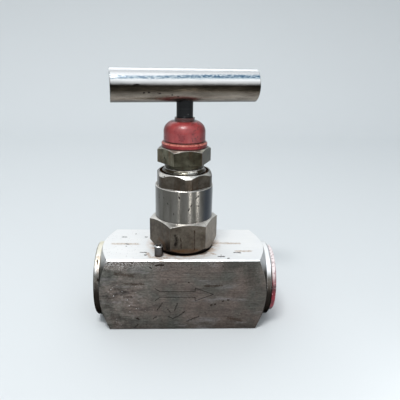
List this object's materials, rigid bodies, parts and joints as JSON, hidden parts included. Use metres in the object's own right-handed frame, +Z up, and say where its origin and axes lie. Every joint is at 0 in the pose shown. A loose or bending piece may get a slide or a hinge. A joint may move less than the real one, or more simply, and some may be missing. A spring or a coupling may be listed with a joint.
{
  "type": "flow control valve",
  "caption": "Bar-stock needle valve for flow control: square steel body with threaded ports, screwed bonnet, packed gland, red dust cap and tee-bar handle.",
  "frame": {"origin": "centre of the body's flat underside, on the stem axis", "axes": "+Z up the stem axis, +X along the port axis and out of the outlet port that holds the plug, -Y the body's front face with the lock pin beside it"},
  "size_m": [0.075, 0.032, 0.1045],
  "materials": {
    "body_steel": "rolled and turned stainless bar, streaked, scratched and stained",
    "bonnet_steel": "turned stainless with grime in the corners",
    "gland_steel": "turned stainless with an oily film",
    "pin_steel": "rolled spring steel",
    "seal_metal": "soft annealed steel ring",
    "packing_ptfe": "white PTFE",
    "cap_red": "dull red soft plastic with grease smears",
    "plug_red": "glossy deep red plastic",
    "stem_black": "blackened steel, satin",
    "tip_steel": "ground hardened stainless",
    "handle_plate": "bright plated bar with fine streaks and a few pits"
  },
  "bodies": {
    "valve": {"valve_body": "body_steel", "bonnet": "bonnet_steel", "bonnet_lock_pin": "pin_steel", "bonnet_seal_ring": "seal_metal", "packing_lower_adapter": "packing_ptfe", "packing_ring_1": "packing_ptfe", "packing_ring_2": "packing_ptfe", "packing_ring_3": "packing_ptfe", "packing_ring_4": "packing_ptfe", "packing_upper_adapter": "packing_ptfe"},
    "needle": {"needle_tip": "tip_steel", "thrust_ball": "tip_steel", "tip_snap_ring": "tip_steel"},
    "spindle": {"stem": "stem_black", "handle_bar": "handle_plate", "handle_set_screw": "stem_black"},
    "follower": {"gland_follower": "bonnet_steel"},
    "gland": {"gland_nut": "gland_steel", "dust_cap": "cap_red"},
    "plug": {"outlet_plug": "plug_red"}
  },
  "joints": [
    {"name": "needle_lift", "type": "slide", "parent": "valve", "child": "needle", "axis": [0, 0, 1], "range_m": [-0.0045, 0]},
    {"name": "handle_turn", "type": "hinge", "parent": "needle", "child": "spindle", "pos_m": [0, 0, 0.09815], "axis": [0, 0, 1], "range_deg": [-1080, 0]},
    {"name": "gland_take_up", "type": "slide", "parent": "valve", "child": "follower", "axis": [0, 0, 1], "range_m": [-0.0015, 0], "deforming": ["packing_lower_adapter", "packing_ring_1", "packing_ring_2", "packing_ring_3", "packing_ring_4", "packing_upper_adapter"]},
    {"name": "gland_turn", "type": "hinge", "parent": "follower", "child": "gland", "pos_m": [0, 0, 0.0715], "axis": [0, 0, 1], "range_deg": [-360, 0]},
    {"name": "plug_pull", "type": "slide", "parent": "valve", "child": "plug", "axis": [1, 0, 0], "range_m": [0, 0.08]}
  ],
  "couplings": [
    {"joint": "handle_turn", "follows": "needle_lift", "rad_per_m": 4188.8},
    {"joint": "gland_turn", "follows": "gland_take_up", "rad_per_m": 4188.8}
  ]
}
